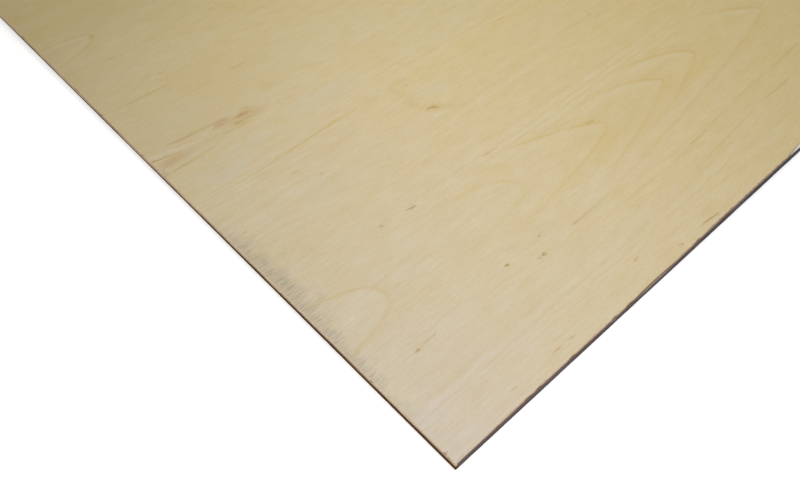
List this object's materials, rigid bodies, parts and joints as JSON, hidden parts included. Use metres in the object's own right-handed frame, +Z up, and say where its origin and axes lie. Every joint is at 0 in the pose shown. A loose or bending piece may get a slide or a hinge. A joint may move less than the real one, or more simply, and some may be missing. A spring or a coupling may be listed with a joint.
{
  "type": "plywood sheet",
  "caption": "Flat rectangular plywood sheet with a pale birch face veneer, grain along its length and dark square-sawn edges, for sheathing, flooring and joinery.",
  "frame": {"origin": "centre of the back face, on the floor plane the sheet lies on", "axes": "+X along the length and the face grain, +Y across the width, +Z up out of the show face"},
  "size_m": [2.44, 1.22, 0.012],
  "materials": {
    "plywood": "matte"
  },
  "bodies": {
    "root": {"plywood_sheet": "plywood"}
  },
  "joints": []
}
